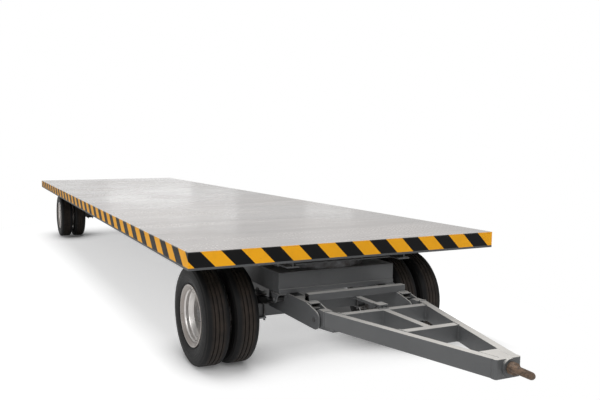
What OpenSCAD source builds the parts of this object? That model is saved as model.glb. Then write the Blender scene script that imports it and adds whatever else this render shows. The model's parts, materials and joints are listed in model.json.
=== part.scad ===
// Flatbed platform trailer with a turntable-steered front bogie and an A-frame drawbar.
// Millimetres, +Z up, +X toward the drawbar, the ground at z = 0 under the middle of the part.

/* [Deck] */
// Length of the deck
deck_length = 8220; // [7000:20:10000]
// Width of the deck
deck_width = 2500; // [2300:10:2600]
// Thickness of the deck sheets
deck_plate = 6; // [4:1:10]
// Height of the deck's edge, sheet and rail together
edge_height = 120; // [100:1:140]
// Wall of the edge rails
rail_wall = 8; // [5:1:12]
// Depth of the edge rails' flanges
rail_flange = 60; // [40:1:80]
// Length of the front deck sheet
first_sheet = 1370; // [1000:10:1600]
// Pitch of the sheets behind it
sheet_pitch = 1025; // [800:5:1500]
// Gap between two sheets
sheet_gap = 3; // [2:1:6]

/* [Chassis] */
// Depth of the main beams over the front bogie
beam_h = 164; // [140:1:200]
// How much deeper the main beams are behind it
belly = 155; // [100:1:180]
// Width of the main beams' flanges
beam_flange = 100; // [80:1:120]
// Thickness of the main beams' flanges
beam_wall = 12; // [8:1:16]
// Wanted pitch of the cross members
cross_pitch = 630; // [500:10:900]
// Depth of the cross members
cross_h = 110; // [80:1:120]
// Width of the cross members' flanges
cross_w = 50; // [40:1:60]
// Wall of the cross members
cross_wall = 6; // [4:1:8]

/* [Wheels] */
// Outer radius of a tyre
tyre_r = 377; // [350:1:400]
// Section width of a tyre
tyre_w = 198; // [180:1:215]
// Gap between the tyres of a twin pair
twin_gap = 28; // [20:1:40]
// Gap between a spring hanger and the inner tyre
wheel_gap = 97; // [60:1:120]
// Radius of the rim's flange
rim_r = 233; // [222:1:240]
// Kingpin and front axle behind the deck's front edge
front_axle = 637; // [600:1:700]
// Rear axle ahead of the deck's rear edge
rear_overhang = 540; // [500:10:1500]
// Side of the square axle beam
axle_side = 100; // [80:1:110]
// Radius of the axle's round stubs
stub_r = 35; // [30:1:40]
// Radius of the brake drums
drum_r = 165; // [140:1:175]

/* [Suspension] */
// Thickness of one leaf
leaf = 12; // [8:1:14]
// Width of a leaf spring
spring_w = 60; // [50:1:75]
// Spring's ends from the axle
spring_half = 375; // [350:1:385]
// Radius of the lowest leaf's bow
spring_r = 1800; // [1500:10:2500]
// Gap between the middle of the spring and the bogie frame
bump = 93; // [80:1:120]
// Wall of the spring hangers
hanger_wall = 8; // [6:1:12]
// Radius of the spring pins
spring_pin_r = 10; // [8:1:12]

/* [Bogie] */
// Height of the bogie frame
bogie_h = 152; // [130:1:170]
// Bogie frame's end faces from the kingpin
bogie_reach = 419; // [415:1:440]
// Width of the bogie's side beams
side_beam_w = 80; // [70:1:100]
// Width of the bogie's end beams
end_beam_w = 90; // [70:1:110]
// Thickness of the bogie's top plate
top_plate = 8; // [6:1:12]
// Height of the lip at the foot of the end beams
lip_h = 33; // [20:1:45]
// Outer radius of the slewing ring
ring_r = 412; // [380:1:420]
// Radial width of the slewing ring
ring_w = 52; // [45:1:60]
// Height of the slewing ring
ring_h = 53; // [45:1:65]
// Radius of the kingpin
kingpin_r = 45; // [35:1:60]

/* [Drawbar] */
// Distance of a hinge from the centre line
hinge_y = 375; // [340:1:390]
// Hinge pins ahead of the bogie's front face
hinge_reach = 371; // [350:1:400]
// Hinge pins below the bogie frame
pin_drop = 93; // [88:1:100]
// Radius of the hinge pins
pin_r = 16; // [12:1:20]
// Width of a hinge lug
lug_w = 66; // [50:1:80]
// Side clearance of a hinge lug in its ears
hinge_gap = 5; // [5:1:8]
// Thickness of an ear plate
ear_wall = 12; // [8:1:16]
// Radius of an ear's round end
ear_r = 64; // [58:1:70]
// Side of the square cross tube
tube = 50; // [40:1:60]
// Height of the stub tubes
stub_h = 40; // [30:1:42]
// Height of the drawbar's members
bar_h = 104; // [90:1:110]
// Width of the drawbar's members
bar_w = 50; // [40:1:60]
// Drawbar's middle above the hinge pins
bar_rise = 24; // [16:1:26]
// Drawbar head's front face ahead of the hinge pins
head_reach = 1184; // [1100:1:1500]
// Half the width of the drawbar's head
head_half = 86; // [70:1:100]
// Length of the collar on the head
collar_l = 14; // [10:1:45]
// Radius of the eye's swivel shank
shank_r = 22; // [18:1:26]
// Radius of the towing eye's middle circle
eye_mid_r = 43; // [42:1:50]
// Radius of the towing eye's round section
eye_section = 20; // [19:1:24]
// Radius of the towing eye's bore
eye_bore_r = 25; // [24:0.5:28]
// Roll of the towing eye about its shank
eye_roll = -25; // [-90:1:90]

/* [Hidden] */
$fn = 64;
// Running clearance of a pin in its bore
run = 0.08;
// Seat gap between two solids
seat = 0.3;
// Overlap of fused pieces
fuse = 1;
// Gap between the collar and the towing eye
eye_gap = 3;
// Lengths: deck's front edge, axles, hinge pins and head, with the part's box centred on x = 0
eye_out = eye_mid_r + eye_section;
reach = bogie_reach - front_axle + hinge_reach + head_reach + collar_l + eye_gap + 2 * eye_out;
front = (deck_length - reach) / 2;
rear = front - deck_length;
xk = front - front_axle;
xr = rear + rear_overhang;
bogie_x = xk + bogie_reach;
xp = bogie_x + hinge_reach;
head_x = xp + head_reach;
eye_x = head_x + collar_l + eye_gap + eye_out;
// Heights from the ground up: axle, springs, bogie frame, slewing ring, beams, deck
axle_z = tyre_r;
axle_top = axle_z + axle_side / 2;
pad_h = 10;
leaves = 5;
spring_low = axle_top + pad_h;
spring_top = spring_low + leaves * leaf;
bogie_low = spring_top + bump;
bogie_top = bogie_low + bogie_h;
ring_top = bogie_top + ring_h;
mount_plate = 10;
beam_low = ring_top + mount_plate;
beam_deep = beam_low - belly;
rail_top = beam_low + beam_h;
deck_top = rail_top + deck_plate;
rail_low = deck_top - edge_height;
pin_z = bogie_low - pin_drop;
bar_z = pin_z + bar_rise;
bar_low = bar_z - bar_h / 2;
bar_top = bar_z + bar_h / 2;
eye_z = bar_z + 8;
// Widths from the hinge out: ears, springs, bogie frame, wheels, deck
ear_in = hinge_y + lug_w / 2 + hinge_gap;
ear_out = ear_in + ear_wall;
spring_y = ear_out + 2 + hanger_wall + spring_w / 2;
side_in = ear_in - 1;
bogie_half = side_in + side_beam_w;
twin_pitch = tyre_w + twin_gap;
tyre_in_y = spring_y + spring_w / 2 + hanger_wall + wheel_gap + tyre_w / 2;
tyre_y = tyre_in_y + twin_pitch;
twin_mid = tyre_y - twin_pitch / 2;
half = deck_width / 2;
// Main beams: where they deepen, clear of the turning wheels, and their web
sweep = sqrt(pow(tyre_y + tyre_w / 2, 2) + tyre_r * tyre_r);
beam_step = xk - sweep - 200;
beam_step_end = beam_step - 2 * belly;
beam_web = 10;
beam_front = front - rail_flange;
beam_rear = rear + rail_flange;
// Cross members: first and last from the deck's ends, evenly spaced between
cross_first = 360;
cross_last = 300;
cross_bays = round((deck_length - cross_first - cross_last) / cross_pitch);
cross_step = (deck_length - cross_first - cross_last) / cross_bays;
// Slewing ring: flange height, web width, running gap between the two halves
ring_flange = 14;
ring_web = 20;
ring_gap = 0.5;
boss_w = 35;
// Springs: centre of the bow, main leaf, eye and slipper
spring_cz = spring_low + spring_r;
main_top_r = spring_r - leaves * leaf;
main_mid_r = main_top_r + leaf / 2;
spring_eye_r = spring_pin_r + 10;
spring_eye_z = spring_cz - sqrt(main_mid_r * main_mid_r - spring_half * spring_half) + leaf;
slip_x = spring_half - 15;
slip_r = 14;
slip_z = spring_cz - sqrt(pow(main_top_r - slip_r - seat, 2) - slip_x * slip_x);
hanger_foot = 26;
hanger_top = 55;
clamp_x = 75;
clamp_y = spring_w / 2 + 20;
bolt_r = 8;
// Wheels: rim barrel, disc and hub
disc_wall = 12;
rim_wall = 9;
rim_half = tyre_w / 2 - 13;
rim_rise = 22;
barrel_r = rim_r - rim_rise;
hub_r = 80;
hub_gap = 4;
hand_hole_r = 24;
hand_hole_at = (barrel_r - 40 + hub_r) / 2 + 12;
drum_l = 190;
drum_y = twin_mid - disc_wall - drum_l;
stub_end = twin_mid + 90;
hub_cap = 22;
// Drawbar: cross tube on the ears, rest bar under it, bars between the side members
tube_back = 111;
tube_x = xp - tube_back;
stub_back = 60;
stub_x = xp - stub_back;
stub_l = 219;
ear_rear = xk + axle_side / 2 + 87;
rest_half = 22;
rest_h = 20;
rest_reach = 112;
rest_tip = xp + rest_reach;
bracket_half = 37;
bracket_wall = 10;
lug_r = ear_r - 10;
lug_l = 95;
lug_foot = 16;
bar_in = 81;
bar_pitch = 435;
rear_bar_x = xp + lug_l + bar_in;
mid_bar_x = rear_bar_x + bar_pitch;
side_x0 = xp + lug_l;
side_y0 = hinge_y + lug_w / 2;
head_round = 14;
side_x1 = head_x - 2 * head_round - 2;
side_y1 = head_half;
side_slope = (side_y1 - side_y0) / (side_x1 - side_x0);
side_w = bar_w * sqrt(1 + side_slope * side_slope);
head_l = 135;
collar_r = shank_r + 24;
shoulder_r = shank_r + 11;
shoulder_l = 27;
shank_in = 90;

frame_grey = "#5f6060";
edge_yellow = "#dfa31e";
sheet_grey = "#cfcbc8";
bare_steel = "#8d8f90";
rim_silver = "#c9cbcc";
tyre_black = "#161616";
rust = "#6b4a35";

// A box from its least corner to its greatest
module span(a, b) {
  translate(a)
    cube(b - a);
}

// The piece and its mirror image across the centre line
module both() {
  children();
  mirror([0, 1, 0])
    children();
}

// A rod along Y
module rod_y(x, z, r, y0, y1) {
  translate([x, y0, z])
    rotate([-90, 0, 0])
      cylinder(r = r, h = y1 - y0);
}

// A rod along X
module rod_x(x0, x1, z, r) {
  translate([x0, 0, z])
    rotate([0, 90, 0])
      cylinder(r = r, h = x1 - x0);
}

// A profile drawn in X and Z, from y0 to y1
module slab_y(y0, y1) {
  translate([0, y1, 0])
    rotate([90, 0, 0])
      linear_extrude(y1 - y0)
        children();
}

// Channel profile in depth and height, its web on the zero line
module channel(w, h, wall) {
  difference() {
    square([w, h]);
    translate([wall, wall])
      square([w, h - 2 * wall]);
  }
}

module deck_plates() {
  sheets = ceil((deck_length - first_sheet) / sheet_pitch);
  color(sheet_grey) {
    span([front - first_sheet + sheet_gap, -half, rail_top], [front, half, deck_top]);
    for (i = [0 : sheets - 1]) {
      a = front - first_sheet - i * sheet_pitch;
      b = i == sheets - 1 ? rear : a - sheet_pitch + sheet_gap;
      span([b, -half, rail_top], [a, half, deck_top]);
    }
  }
}

module side_rails() {
  color(edge_yellow)
    both()
      translate([rear, half, rail_low])
        rotate([90, 0, 90])
          linear_extrude(deck_length)
            mirror([1, 0])
              channel(rail_flange, rail_top - rail_low, rail_wall);
}

module end_rails() {
  inner = half - rail_flange;
  color(edge_yellow)
    for (s = [0, 1])
      translate([s == 0 ? front : rear, 0, rail_low])
        mirror([s, 0, 0]) {
          slab_y(-inner, inner)
            mirror([1, 0])
              channel(rail_flange, rail_top - rail_low, rail_wall);
          span([-rail_wall, -half + rail_wall, rail_wall],
            [0, half - rail_wall, rail_top - rail_low - rail_wall]);
        }
}

// Main beam: top flange, web and a bottom flange that steps down behind the bogie
module main_beams() {
  color(frame_grey)
    both()
      translate([0, spring_y, 0]) {
        span([beam_rear, -beam_flange / 2, rail_top - beam_wall],
          [beam_front, beam_flange / 2, rail_top]);
        slab_y(-beam_web / 2, beam_web / 2)
          polygon([[beam_front, rail_top - fuse], [beam_front, beam_low + fuse],
            [beam_step, beam_low + fuse], [beam_step_end, beam_deep + fuse],
            [beam_rear, beam_deep + fuse], [beam_rear, rail_top - fuse]]);
        slab_y(-beam_flange / 2, beam_flange / 2)
          polygon([[beam_front, beam_low], [beam_front, beam_low + beam_wall],
            [beam_step, beam_low + beam_wall], [beam_step_end, beam_deep + beam_wall],
            [beam_rear, beam_deep + beam_wall], [beam_rear, beam_deep],
            [beam_step_end, beam_deep], [beam_step, beam_low]]);
      }
}

// Cross channels at every station, from y0 to y1
module cross_channels(y0, y1, h) {
  for (i = [0 : cross_bays])
    translate([front - cross_first - i * cross_step, 0, rail_top - h])
      slab_y(y0, y1)
        mirror([1, 0])
          channel(cross_w, h, cross_wall);
}

module cross_members() {
  w = spring_y - beam_flange / 2;
  color(frame_grey)
    cross_channels(-w, w, cross_h);
}

// Outriggers: the same channels from the main beams out to the side rails
module outriggers() {
  color(frame_grey)
    both()
      cross_channels(spring_y + beam_flange / 2, half - rail_flange, rail_top - rail_low);
}

// Plate over the slewing ring, with stiffeners and the kingpin's boss
module turntable_mount() {
  x = ring_r + 28;
  y = spring_y + beam_flange / 2;
  rib = 40;
  color(frame_grey)
    difference() {
      union() {
        span([xk - x, -y, ring_top], [xk + x, y, beam_low]);
        for (s = [-1, 1])
          span([xk + s * 70 - 10, -spring_y + beam_flange / 2, beam_low - fuse],
            [xk + s * 70 + 10, spring_y - beam_flange / 2, beam_low + rib]);
        translate([xk, 0, bogie_top + ring_h / 2 + ring_gap])
          cylinder(r = kingpin_r + boss_w, h = beam_low + rib - bogie_top - ring_h / 2 - ring_gap);
      }
      translate([xk, 0, bogie_low])
        cylinder(r = kingpin_r + run, h = deck_top - bogie_low);
    }
}

// Slewing ring's half: a flange with a web that laps the other half's web
module ring_half(web_r) {
  translate([xk, 0, 0])
    rotate_extrude($fn = 128) {
      translate([ring_r - ring_w, 0])
        square([ring_w, ring_flange]);
      translate([web_r, 0])
        square([ring_web, ring_h - ring_flange - ring_gap]);
    }
}

module slew_ring_upper() {
  color(bare_steel)
    translate([0, 0, ring_top])
      mirror([0, 0, 1])
        ring_half(ring_r - ring_web);
}

module slew_ring_lower() {
  color(bare_steel)
    translate([0, 0, bogie_top])
      ring_half(ring_r - ring_w);
}

module kingpin() {
  color(bare_steel)
    translate([xk, 0, bogie_top]) {
      cylinder(r = kingpin_r, h = beam_low + 45 - bogie_top);
      cylinder(r = kingpin_r + boss_w, h = ring_h / 2);
    }
}

// Bogie's end beams, each with a lip along its foot
module bogie_end_beams() {
  color(frame_grey)
    for (s = [0, 1])
      translate([xk, 0, bogie_low])
        mirror([s, 0, 0])
          translate([bogie_reach, -bogie_half, 0]) {
            translate([-end_beam_w, 0, 0])
              cube([end_beam_w, 2 * bogie_half, bogie_h - top_plate]);
            translate([-fuse, 0, 0])
              cube([fuse + 6, 2 * bogie_half, lip_h]);
          }
}

// Bogie's side beams, and the two short beams that carry the kingpin
module bogie_side_beams() {
  l = bogie_reach - end_beam_w;
  color(frame_grey) {
    both()
      span([xk - l, side_in, bogie_low], [xk + l, bogie_half, bogie_top - top_plate]);
    for (s = [-1, 1])
      span([xk + s * 60 - 30, -side_in, bogie_low + 40],
        [xk + s * 60 + 30, side_in, bogie_top - top_plate]);
  }
}

module bogie_top_plate() {
  color(frame_grey)
    span([xk - bogie_reach, -bogie_half, bogie_top - top_plate], [bogie_x, bogie_half, bogie_top]);
}

// Ear plate's outline: straight under the frame, sloping top, round end at the pin
module ear_shape() {
  slope = 14;
  difference() {
    union() {
      translate([xp, pin_z])
        circle(r = ear_r);
      polygon([[ear_rear, bogie_low], [ear_rear, pin_z - ear_r], [xp, pin_z - ear_r],
        [xp + ear_r * sin(slope), pin_z + ear_r * cos(slope)], [tube_x, bogie_low]]);
    }
    translate([xp, pin_z])
      circle(r = pin_r + seat);
  }
}

module drawbar_ears() {
  inner = 2 * hinge_y - ear_in;
  color(frame_grey)
    both() {
      slab_y(ear_in, ear_out)
        ear_shape();
      slab_y(inner - ear_wall, inner)
        ear_shape();
    }
}

module cross_tube() {
  w = ear_out - 26;
  wall = 5;
  color(frame_grey)
    translate([tube_x - tube, 0, bogie_low])
      slab_y(-w, w)
        difference() {
          square(tube);
          translate([wall, wall])
            square(tube - 2 * wall);
        }
}

// Short open tubes between each pair of ears
module stub_tubes() {
  wall = 6;
  color(frame_grey)
    both()
      difference() {
        span([stub_x - stub_l, 2 * hinge_y - ear_in, bogie_low - stub_h], [stub_x, ear_in, bogie_low]);
        span([stub_x - stub_l - fuse, 2 * hinge_y - ear_in + wall, bogie_low - stub_h + wall],
          [stub_x + fuse, ear_in - wall, bogie_low - wall]);
      }
}

module rest_bar() {
  color(frame_grey)
    span([tube_x - tube - 12, -rest_half, bogie_low - rest_h], [rest_tip, rest_half, bogie_low]);
}

module hinge_pins() {
  inner = 2 * hinge_y - ear_out;
  color(bare_steel)
    both() {
      rod_y(xp, pin_z, pin_r, inner - 6, ear_out + 4);
      rod_y(xp, pin_z, pin_r + 8, inner - 14, inner - seat);
    }
}

// Leaf spring: concentric leaves, the longest on top with an eye at its front end
module spring(x) {
  slab_y(-spring_w / 2, spring_w / 2)
    translate([x, 0])
      difference() {
        union() {
          for (k = [0 : leaves - 1]) {
            l = spring_half * (k + 1.6) / (leaves + 0.6);
            intersection() {
              translate([0, spring_cz])
                difference() {
                  circle(r = spring_r - k * leaf + (k > 0 ? fuse / 2 : 0), $fn = 256);
                  circle(r = spring_r - (k + 1) * leaf, $fn = 256);
                }
              translate([-l, axle_z])
                square([2 * l, 2 * bump + spring_top - axle_z]);
            }
          }
          translate([spring_half, spring_eye_z])
            circle(r = spring_eye_r);
        }
        translate([spring_half, spring_eye_z])
          circle(r = spring_pin_r + seat);
      }
}

module springs(x) {
  color(tyre_black)
    both()
      translate([0, spring_y, 0])
        spring(x);
}

module front_springs() {
  springs(xk);
}

module rear_springs() {
  springs(xr);
}

// Hanger's cheek: wide at the frame, round at the pin
module cheek_shape(z, top) {
  translate([0, z])
    circle(r = hanger_foot);
  polygon([[-hanger_foot, z], [hanger_foot, z], [hanger_top, top - hanger_wall], [hanger_top, top],
    [-hanger_top, top], [-hanger_top, top - hanger_wall]]);
}

// Hanger at x: two cheeks under a top plate, with a cross pin at the height z
module hanger(x, z, top, r) {
  w = spring_w / 2;
  translate([x, 0, 0]) {
    span([-hanger_top, -w - hanger_wall, top - hanger_wall], [hanger_top, w + hanger_wall, top]);
    for (s = [-1, 1])
      slab_y(s * (w + hanger_wall / 2) - hanger_wall / 2, s * (w + hanger_wall / 2) + hanger_wall / 2)
        cheek_shape(z, top);
    rod_y(0, z, r, -w - hanger_wall, w + hanger_wall + 10);
  }
}

// A spring's two hangers: a pin through its front eye, a slipper over its rear end
module hangers(x, top) {
  color(frame_grey)
    both()
      translate([0, spring_y, 0]) {
        hanger(x + spring_half, spring_eye_z, top, spring_pin_r);
        hanger(x - slip_x, slip_z, top, slip_r);
      }
}

module front_hangers() {
  hangers(xk, bogie_low);
}

module rear_hangers() {
  hangers(xr, beam_deep);
}

// Axle: a square beam with a round stub at each end
module axle_beam(x) {
  a = axle_side / 2;
  y = drum_y - 12;
  color(frame_grey) {
    span([x - a, -y, axle_z - a], [x + a, y, axle_z + a]);
    rod_y(x, axle_z, stub_r, -stub_end, stub_end);
  }
}

module front_axle_beam() {
  axle_beam(xk);
}

module rear_axle_beam() {
  axle_beam(xr);
}

// Axle clamps: pad under the spring, plate over it, plate under the axle, four bolts
module clamps(x) {
  plate = 12;
  low = axle_top - axle_side - plate;
  over = main_top_r - sqrt(main_top_r * main_top_r - clamp_x * clamp_x) + seat;
  high = spring_top + over + plate;
  color(bare_steel)
    both()
      translate([x, spring_y, 0]) {
        span([-clamp_x, -clamp_y, axle_top], [clamp_x, clamp_y, spring_low]);
        span([-clamp_x, -clamp_y, spring_top + over], [clamp_x, clamp_y, high]);
        span([-clamp_x, -clamp_y, low], [clamp_x, clamp_y, low + plate]);
        for (a = [-1, 1])
          for (b = [-1, 1])
            translate([a * (axle_side / 2 + bolt_r + 4), b * (spring_w / 2 + bolt_r + 1), low - 16])
              cylinder(r = bolt_r, h = high + 16 - low + 8);
      }
}

module front_clamps() {
  clamps(xk);
}

module rear_clamps() {
  clamps(xr);
}

// Inner face of the drawbar's side member
function side_inner(x) = side_y0 + side_slope * (x - side_x0) - side_w;

// Drawbar's side members: from the hinge lugs in to the head
module drawbar_sides() {
  color(frame_grey)
    both()
      translate([0, 0, bar_low])
        linear_extrude(bar_h)
          polygon([[side_x0, side_y0], [side_x1, side_y1],
            [side_x1, side_y1 - side_w], [side_x0, side_y0 - side_w]]);
}

// Rear and middle bars between the side members, and the bar that joins them
module drawbar_bars() {
  color(frame_grey)
    translate([0, 0, bar_low])
      linear_extrude(bar_h) {
        for (x = [rear_bar_x, mid_bar_x]) {
          a = x - bar_w / 2;
          b = x + bar_w / 2;
          polygon([[a, -side_inner(a)], [b, -side_inner(b)], [b, side_inner(b)], [a, side_inner(a)]]);
        }
        translate([rear_bar_x, -bar_w / 2])
          square([mid_bar_x - rear_bar_x, bar_w]);
      }
}

// Head's outline: between the side members, then over their ends, with round front corners
module head_shape() {
  a = head_x - head_l;
  b = head_x - head_round;
  polygon([[a, -side_inner(a)], [side_x1, -side_inner(side_x1)], [side_x1, -head_half], [b, -head_half],
    [b, head_half], [side_x1, head_half], [side_x1, side_inner(side_x1)], [a, side_inner(a)]]);
  for (s = [-1, 1])
    translate([b, s * (head_half - head_round)])
      circle(r = head_round);
  translate([b - fuse, head_round - head_half])
    square([head_round + fuse, 2 * (head_half - head_round)]);
}

// Drawbar's head, with the collar of the swivel shank
module drawbar_head() {
  color(frame_grey)
    difference() {
      union() {
        translate([0, 0, bar_low])
          linear_extrude(bar_h)
            head_shape();
        rod_x(head_x - fuse, head_x + collar_l, eye_z, collar_r);
      }
      rod_x(head_x - shank_in, head_x + collar_l + fuse, eye_z, shank_r + run);
    }
}

// Hinge lugs: round at the pin, running forward into the side members, with a foot under them
module hinge_lugs() {
  foot_x = side_x0 + 75;
  foot_y = side_y0 + side_slope * 75;
  color(frame_grey)
    both() {
      slab_y(hinge_y - lug_w / 2, hinge_y + lug_w / 2)
        difference() {
          union() {
            translate([xp, pin_z])
              circle(r = lug_r);
            polygon([[xp, pin_z - lug_r], [side_x0, bar_low - lug_foot], [side_x0, bar_top],
              [xp + lug_r / 2, bar_top], [xp - lug_r / 4, pin_z + lug_r * sqrt(15) / 4]]);
          }
          translate([xp, pin_z])
            circle(r = pin_r + run);
        }
      translate([0, 0, bar_low - lug_foot])
        linear_extrude(lug_foot)
          polygon([[side_x0 - fuse, side_y0], [side_x0, side_y0], [foot_x, foot_y],
            [foot_x, foot_y - side_w], [side_x0 - fuse, side_y0 - side_w]]);
    }
}

// Rest bracket: two openings under a lip that lies on the rest bar
module rest_bracket() {
  a = rear_bar_x - bar_w / 2;
  b = rear_bar_x - 5;
  lip = bogie_low + seat;
  color(frame_grey) {
    for (y = [-bracket_half, -bracket_wall / 2, bracket_half - bracket_wall])
      span([a, y, bar_top], [b, y + bracket_wall, lip + fuse]);
    span([rest_tip - 12, -bracket_half, lip], [b, bracket_half, lip + bracket_wall]);
  }
}

// Towing eye: a round-section ring with a bore land, on its shouldered swivel shank
module tow_eye() {
  x0 = eye_x - eye_out;
  color(rust)
    translate([0, 0, eye_z])
      rotate([eye_roll, 0, 0])
        difference() {
          union() {
            translate([eye_x, 0, 0])
              rotate_extrude()
                translate([eye_mid_r, 0])
                  circle(r = eye_section);
            rod_x(head_x - shank_in + 2, eye_x - eye_mid_r, 0, shank_r);
            rod_x(x0, x0 + shoulder_l, 0, shoulder_r);
            translate([x0 + shoulder_l, 0, 0])
              rotate([0, 90, 0])
                cylinder(r1 = shoulder_r, r2 = eye_section - fuse, h = 9);
          }
          translate([eye_x, 0, -2 * eye_section])
            cylinder(r = eye_bore_r, h = 4 * eye_section);
        }
}

// Places a wheel drawn round the Z axis on its axle at x: s is 1 on the left, -1 on the right
module at_wheel(x, s) {
  mirror([0, s < 0 ? 1 : 0, 0])
    translate([x, 0, axle_z])
      rotate([-90, 0, 0])
        children();
}

// Hub: brake drum behind the discs, barrel through them, cap over the stub's end
module hub(x, s) {
  disc_y = twin_mid - disc_wall;
  end = stub_end + 10;
  color(bare_steel)
    at_wheel(x, s)
      difference() {
        union() {
          translate([0, 0, drum_y])
            cylinder(r = drum_r, h = drum_l);
          translate([0, 0, disc_y - fuse])
            cylinder(r = hub_r, h = end - disc_y + fuse);
          translate([0, 0, end - fuse])
            cylinder(r = hub_r - 22, h = hub_cap + fuse);
        }
        translate([0, 0, drum_y - fuse])
          cylinder(r = stub_r + run, h = stub_end + 1 - drum_y + fuse);
      }
}

// Rim: a disc at z = 0 dished out to the barrel, with hand holes
module rim() {
  a = twin_pitch / 2 - rim_half;
  b = twin_pitch / 2 + rim_half;
  inner = barrel_r - rim_wall;
  difference() {
    rotate_extrude($fn = 96)
      polygon([[hub_r + hub_gap, 0], [inner - 24, 0], [inner, a - 6], [inner, a], [rim_r, a], [rim_r, a + 10],
        [barrel_r, a + rim_rise], [barrel_r, b - rim_rise], [rim_r, b - 10], [rim_r, b], [rim_r - 10, b],
        [inner, b - 16], [inner, a + 34], [inner - 24, disc_wall + 14], [inner - 34, disc_wall],
        [hub_r + hub_gap, disc_wall]]);
    for (i = [0 : 7])
      rotate([0, 0, i * 45 + 22.5])
        translate([hand_hole_at, 0, -fuse])
          cylinder(r = hand_hole_r, h = disc_wall + 2 * fuse);
  }
}

module rim_outer(x, s) {
  color(rim_silver)
    at_wheel(x, s)
      translate([0, 0, twin_mid])
        rim();
}

module rim_inner(x, s) {
  color(rim_silver)
    at_wheel(x, s)
      translate([0, 0, twin_mid])
        mirror([0, 0, 1])
          rim();
}

// Half of the tyre's section, from the bead to the middle of the tread
function tyre_half() =
  let (w = tyre_w / 2, wall = tyre_r - rim_r)
  [[barrel_r + 0.5, rim_half - rim_rise - 2], [rim_r + 1, rim_half - 11], [rim_r + 0.1 * wall, rim_half - 1],
   [rim_r + 0.28 * wall, w - 5], [rim_r + 0.46 * wall, w], [rim_r + 0.7 * wall, w - 4],
   [rim_r + 0.85 * wall, w - 12], [rim_r + 0.945 * wall, w - 24], [tyre_r, w - 40]];

// Tyre: bead in the rim, bulged sidewalls, flat tread
module tyre(y) {
  side = tyre_half();
  n = len(side);
  translate([0, 0, y])
    rotate_extrude($fn = 96)
      polygon(concat(side, [for (i = [n - 1 : -1 : 0]) [side[i][0], -side[i][1]]]));
}

module tyres(x, s) {
  color(tyre_black)
    at_wheel(x, s) {
      tyre(tyre_y);
      tyre(tyre_in_y);
    }
}

module hub_fl() { hub(xk, 1); }
module hub_fr() { hub(xk, -1); }
module hub_rl() { hub(xr, 1); }
module hub_rr() { hub(xr, -1); }
module rim_outer_fl() { rim_outer(xk, 1); }
module rim_outer_fr() { rim_outer(xk, -1); }
module rim_outer_rl() { rim_outer(xr, 1); }
module rim_outer_rr() { rim_outer(xr, -1); }
module rim_inner_fl() { rim_inner(xk, 1); }
module rim_inner_fr() { rim_inner(xk, -1); }
module rim_inner_rl() { rim_inner(xr, 1); }
module rim_inner_rr() { rim_inner(xr, -1); }
module tyres_fl() { tyres(xk, 1); }
module tyres_fr() { tyres(xk, -1); }
module tyres_rl() { tyres(xr, 1); }
module tyres_rr() { tyres(xr, -1); }

deck_plates();
side_rails();
end_rails();
main_beams();
cross_members();
outriggers();
turntable_mount();
slew_ring_upper();
rear_hangers();
rear_springs();
rear_axle_beam();
rear_clamps();
slew_ring_lower();
kingpin();
bogie_end_beams();
bogie_side_beams();
bogie_top_plate();
drawbar_ears();
cross_tube();
stub_tubes();
rest_bar();
hinge_pins();
front_hangers();
front_springs();
front_axle_beam();
front_clamps();
drawbar_sides();
drawbar_bars();
drawbar_head();
hinge_lugs();
rest_bracket();
tow_eye();
hub_fl();
rim_outer_fl();
rim_inner_fl();
tyres_fl();
hub_fr();
rim_outer_fr();
rim_inner_fr();
tyres_fr();
hub_rl();
rim_outer_rl();
rim_inner_rl();
tyres_rl();
hub_rr();
rim_outer_rr();
rim_inner_rr();
tyres_rr();
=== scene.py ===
"""Looks of a flatbed drawbar trailer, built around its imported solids."""

import json
import math
from functools import partial

import bmesh
import bpy
from bpy.props import FloatProperty, FloatVectorProperty, IntProperty, PointerProperty
from mathutils import Matrix, Vector

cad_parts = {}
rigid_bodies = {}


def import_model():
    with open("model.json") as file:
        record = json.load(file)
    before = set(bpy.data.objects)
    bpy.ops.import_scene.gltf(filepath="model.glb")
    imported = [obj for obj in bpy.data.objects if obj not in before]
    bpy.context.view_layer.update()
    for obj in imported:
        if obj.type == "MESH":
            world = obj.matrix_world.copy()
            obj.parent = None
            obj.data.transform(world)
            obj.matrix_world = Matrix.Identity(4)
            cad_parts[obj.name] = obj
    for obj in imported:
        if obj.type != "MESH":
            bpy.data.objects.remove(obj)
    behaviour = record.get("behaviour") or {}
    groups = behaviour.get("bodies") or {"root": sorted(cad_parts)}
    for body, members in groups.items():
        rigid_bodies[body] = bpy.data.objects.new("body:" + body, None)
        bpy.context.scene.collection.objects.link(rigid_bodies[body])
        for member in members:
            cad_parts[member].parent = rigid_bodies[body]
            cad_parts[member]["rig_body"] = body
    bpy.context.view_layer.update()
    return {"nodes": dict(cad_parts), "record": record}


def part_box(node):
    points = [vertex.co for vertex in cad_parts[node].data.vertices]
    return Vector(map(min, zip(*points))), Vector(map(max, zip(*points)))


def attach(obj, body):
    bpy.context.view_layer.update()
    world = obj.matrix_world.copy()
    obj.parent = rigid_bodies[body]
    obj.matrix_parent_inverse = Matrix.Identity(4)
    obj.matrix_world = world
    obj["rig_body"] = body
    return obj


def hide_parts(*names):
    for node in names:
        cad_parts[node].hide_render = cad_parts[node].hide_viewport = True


bl_info = {
    "name": "Flatbed Drawbar Trailer",
    "version": (1, 0, 0),
    "blender": (4, 5, 0),
    "location": "3D View > Sidebar > Trailer",
    "description": "Paints and dresses a flatbed trailer with a steered front bogie",
    "category": "Object",
}

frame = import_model()

MM = 0.001

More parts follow.
